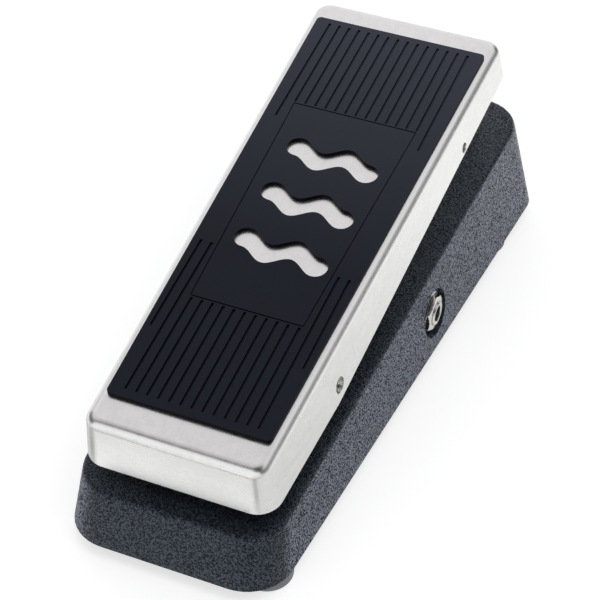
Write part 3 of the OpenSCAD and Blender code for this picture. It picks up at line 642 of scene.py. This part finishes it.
def floor_shade(s, at):
    """How dark reflections see the floor, from 0 to 1, by the place on it in millimetres.

    A band runs in front of the heel, the right side is dim, a strip lies on the left, and
    three spots darken the folds and corners of the treadle's cover.
    """
    heel = CAD_BOX[0].y / MM
    toe = CAD_BOX[1].y / MM
    spots = (  # x, y, radius, darkness
        (44, heel - 26, 14, 0.85),
        (-74, heel + 3, 20, 0.8),
        (-80, heel + 76, 50, 0.9),
    )
    axes = s.split(at)
    x = axes["X"]
    y = axes["Y"]
    band = s.math("MULTIPLY", s.span(y, heel - 30, heel - 46, smooth=True),
                  s.span(y, heel - 56, heel - 72, 1.0, 0.0, smooth=True))
    right = s.math("MULTIPLY", s.span(x, 30, 60, smooth=True), s.span(y, heel / 2, toe, 0.3, 0.03))
    left = s.math("MULTIPLY", s.span(x, -50, -70, 0.0, 0.4, smooth=True),
                  s.span(x, -140, -180, 1.0, 0.0, smooth=True))
    shade = s.math("MAXIMUM", band, s.math("MAXIMUM", right, left))
    for spot_x, spot_y, radius, darkness in spots:
        apart = s.compare("DISTANCE", at, (spot_x, spot_y, 0))
        spot = s.span(apart, radius * 0.5, radius, darkness, 0.0, smooth=True)
        shade = s.math("MAXIMUM", shade, spot)
    return shade


def make_floor():
    """Plain white floor, of which reflections see some parts darker."""
    half = 6.0
    sunk = 0.02 * MM
    mesh = bpy.data.meshes.new("floor")
    corners = [(-half, -half, 0), (half, -half, 0), (half, half, 0), (-half, half, 0)]
    mesh.from_pydata(corners, [], [(0, 1, 2, 3)])
    floor = bpy.data.objects.new("floor", mesh)
    bpy.context.scene.collection.objects.link(floor)
    floor.location.z = -sunk
    s = Shader("floor_white")
    ray = s.nodes.new("ShaderNodeLightPath").outputs
    shade = s.math("MULTIPLY", floor_shade(s, s.place()), ray["Is Glossy Ray"])
    seen = ray["Is Camera Ray"]
    lit = s.mix(seen, (0.92, 0.92, 0.92), (0.6, 0.6, 0.6))
    s.finish(
        Base_Color=s.mix(shade, lit, (0.25, 0.25, 0.25)),
        Roughness=0.7,
        Specular_IOR_Level=0.1,
        Emission_Color=(1, 1, 1),
        Emission_Strength=s.math("ADD", s.between(shade, 0.42, 0.0),
                                 s.math("MULTIPLY", seen, 0.22)),
    )
    mesh.materials.append(s.material)


def make_world():
    """White tent round the object, seen in reflections; the camera sees plain white instead.

    It has a bright roof with a dark seam, dim walls and one dark sector high on the near right.
    """
    world = bpy.data.worlds.new("studio")
    bpy.context.scene.world = world
    world.use_nodes = True
    g = Graph(world.node_tree)
    direction = g.nodes.new("ShaderNodeTexCoord").outputs["Generated"]
    axes = g.split(direction)
    height = axes["Z"]
    side = g.math("MULTIPLY_ADD", axes["X"], 0.5, 0.5)  # 0 on the left, 1 on the right
    depth = g.math("MULTIPLY_ADD", axes["Y"], 0.5, 0.5)  # 0 before the heel, 1 behind the toe

    roof = g.ramp(height, (0.0, 0.0), (0.5, 0.0), (0.66, 1.0), (1.0, 1.0))
    roof_light = g.ramp(height, (0.0, 0.98), (0.72, 0.98), (0.84, 0.80), (1.0, 0.74))
    left = g.math(
        "MULTIPLY",
        g.ramp(side, (0.0, 1.0), (0.35, 0.9), (0.6, 0.0), (1.0, 0.0)),
        g.ramp(depth, (0.0, 0.35), (0.4, 0.2), (0.62, 0.2), (0.74, 0.92), (1.0, 0.92)),
    )
    right = g.math(
        "MULTIPLY",
        g.ramp(side, (0.0, 0.0), (0.4, 0.0), (0.6, 1.0), (1.0, 1.0)),
        g.ramp(depth, (0.0, 0.2), (0.7, 0.3), (0.81, 0.34), (0.86, 0.1), (0.9, 0.0), (1.0, 0.0)),
    )
    front = g.ramp(depth, (0.0, 1.02), (0.18, 1.02), (0.22, 0.0), (1.0, 0.0))
    back = g.math(
        "MULTIPLY",
        g.ramp(depth, (0.0, 0.0), (0.84, 0.0), (0.9, 0.9), (1.0, 0.9)),
        g.ramp(side, (0.0, 1.0), (0.5, 1.0), (0.68, 0.0), (1.0, 0.0)),
    )
    walls = g.math("MAXIMUM", g.math("MAXIMUM", left, right), g.math("MAXIMUM", front, back))
    tent = g.math("ADD", g.math("MULTIPLY", roof, roof_light),
                  g.math("MULTIPLY", g.math("SUBTRACT", 1.0, roof), walls))

    seam = g.ramp(depth, (0.0, 1.0), (0.18, 1.0), (0.235, 0.12), (0.305, 0.12), (0.35, 0.7),
                  (0.6, 0.9), (0.72, 1.0))
    sector_middle = Vector((0.38, -0.42, 0.82)).normalized()
    towards = g.compare("DOT_PRODUCT", direction, sector_middle)
    sector = g.ramp(towards, (0.0, 1.0), (0.89, 1.0), (0.945, 0.05), (1.0, 0.05))
    level = g.math("MULTIPLY", g.math("MULTIPLY", tent, seam), sector)
    seen = g.nodes.new("ShaderNodeLightPath").outputs["Is Camera Ray"]
    background = g.nodes["Background"]
    g.feed(background.inputs["Strength"], g.math("MAXIMUM", level, seen))
    g.feed(background.inputs["Color"], (0.97, 0.98, 1.0))


def aim(thing, azimuth, elevation, distance, target):
    """Puts a lamp or camera on a sphere round a target, facing it, with angles in degrees.

    Azimuth 0 is the heel side and 90 the right.
    """
    a = math.radians(azimuth)
    e = math.radians(elevation)
    away = Vector((math.sin(a) * math.cos(e), -math.cos(a) * math.cos(e), math.sin(e)))
    bpy.context.scene.collection.objects.link(thing)
    thing.location = target + away * distance
    thing.rotation_mode = "QUATERNION"
    thing.rotation_quaternion = (-away).to_track_quat("-Z", "Y")


def make_key_light():
    """Large soft light from high on the right, which reflections don't show."""
    light = bpy.data.lights.new("key", "AREA")
    light.shape = "RECTANGLE"
    light.size = 1.2
    light.size_y = 1.0
    light.energy = 7
    lamp = bpy.data.objects.new("key", light)
    lamp.visible_glossy = False
    aim(lamp, azimuth=60, elevation=62, distance=1.8, target=Vector((0, 0, 0.04)))


def make_camera():
    """Camera at the reference's viewing angle, round a point near the object's middle."""
    data = bpy.data.cameras.new("camera")
    data.sensor_width = 36
    data.lens = 118.8
    data.shift_x = -0.0123
    data.shift_y = -0.026
    data.clip_start = 0.05
    data.clip_end = 50
    camera = bpy.data.objects.new("camera", data)
    low, high = CAD_BOX
    target = Vector((0, (low.y + high.y) / 2 - 0.93 * MM, 35 * MM))
    aim(camera, azimuth=23.2, elevation=40.3, distance=0.7456, target=target)
    bpy.context.scene.camera = camera


def set_tone():
    view = bpy.context.scene.view_settings
    view.view_transform = "Standard"
    view.look = "None"
    view.exposure = 0.0


finishes = build_materials()
dress_all(finishes)
build_hardware(finishes)
make_floor()
make_world()
make_key_light()
make_camera()
set_tone()
